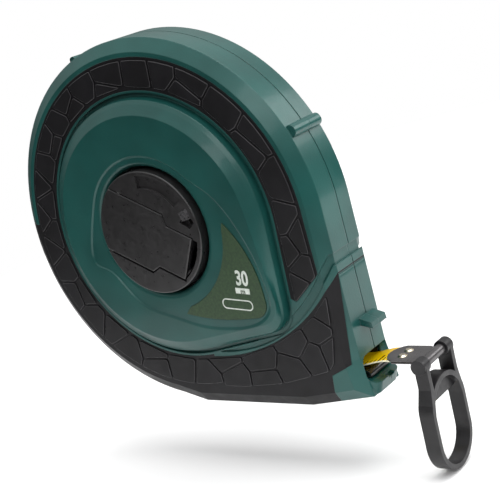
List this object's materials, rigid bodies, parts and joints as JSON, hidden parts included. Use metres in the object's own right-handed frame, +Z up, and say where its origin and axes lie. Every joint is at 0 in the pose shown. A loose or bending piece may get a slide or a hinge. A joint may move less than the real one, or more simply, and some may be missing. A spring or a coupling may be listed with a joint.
{
  "type": "tape reel",
  "caption": "Closed-case surveying tape reel with a fold-out winding crank, rubber side pads, and a yellow tape whose end clip carries a swinging pull loop.",
  "frame": {"origin": "on the base plane, straight below the hub axis, at the parting plane between the two case halves", "axes": "+X the way the tape leaves the case, +Z up, hub axis along Y with the crank on the -Y side"},
  "size_m": [0.1784, 0.044, 0.1804],
  "materials": {
    "case_green": "satin moulded ABS, dark teal green",
    "pad_rubber": "matt overmoulded rubber, charcoal",
    "badge_olive": "fine-grained printed plate, olive green",
    "crank_black": "semi-matt moulded nylon, black",
    "guide_black": "smooth acetal, black",
    "reel_grey": "moulded, dark grey",
    "bush_white": "acetal, white",
    "tape_yellow": "PVC-coated fibreglass, glossy yellow with black marks",
    "clip_black": "black-lacquered steel",
    "rivet_nickel": "nickel-plated",
    "screw_steel": "zinc-plated steel",
    "loop_grey": "moulded nylon, dark grey"
  },
  "bodies": {
    "case": {"right_shell": "case_green", "left_shell": "case_green", "right_pad": "pad_rubber", "left_pad": "pad_rubber", "right_badge": "badge_olive", "left_badge": "badge_olive", "hub_cap": "crank_black", "case_screws": "screw_steel", "axle_bush": "bush_white", "mouth_guide": "guide_black"},
    "reel": {"reel_core": "reel_grey", "right_flange": "reel_grey", "left_flange": "reel_grey", "tape_coil": "tape_yellow", "hub_screw": "screw_steel", "crank_hub": "crank_black", "crank_hinge_pin": "screw_steel"},
    "crank": {"crank_arm": "crank_black", "knob_pin": "screw_steel"},
    "knob": {"crank_knob": "crank_black"},
    "tape": {"tape_blade": "tape_yellow", "tape_clip": "clip_black", "clip_rivets": "rivet_nickel", "hook_pin": "clip_black"},
    "loop": {"hook_loop": "loop_grey"}
  },
  "joints": [
    {"name": "reel_spin", "type": "hinge", "parent": "case", "child": "reel", "pos_m": [0, 0, 0.0769], "axis": [0, -1, 0], "range_deg": [-7.64, 57.3]},
    {"name": "crank_fold", "type": "hinge", "parent": "reel", "child": "crank", "pos_m": [-0.01604, -0.0206, 0.08507], "axis": [-0.454, 0, -0.891], "range_deg": [0, 165]},
    {"name": "knob_spin", "type": "hinge", "parent": "crank", "child": "knob", "pos_m": [0.00897, -0.019, 0.06896], "axis": [0, -1, 0], "continuous": true},
    {"name": "tape_pull", "type": "slide", "parent": "case", "child": "tape", "axis": [1, 0, 0], "range_m": [-0.00802, 0.06002]},
    {"name": "loop_swing", "type": "hinge", "parent": "tape", "child": "loop", "pos_m": [0.1004, 0, 0.0166], "axis": [0, -1, 0], "range_deg": [-25, 190]}
  ],
  "couplings": [
    {"joint": "tape_pull", "follows": "reel_spin", "m_per_rad": 0.06}
  ]
}
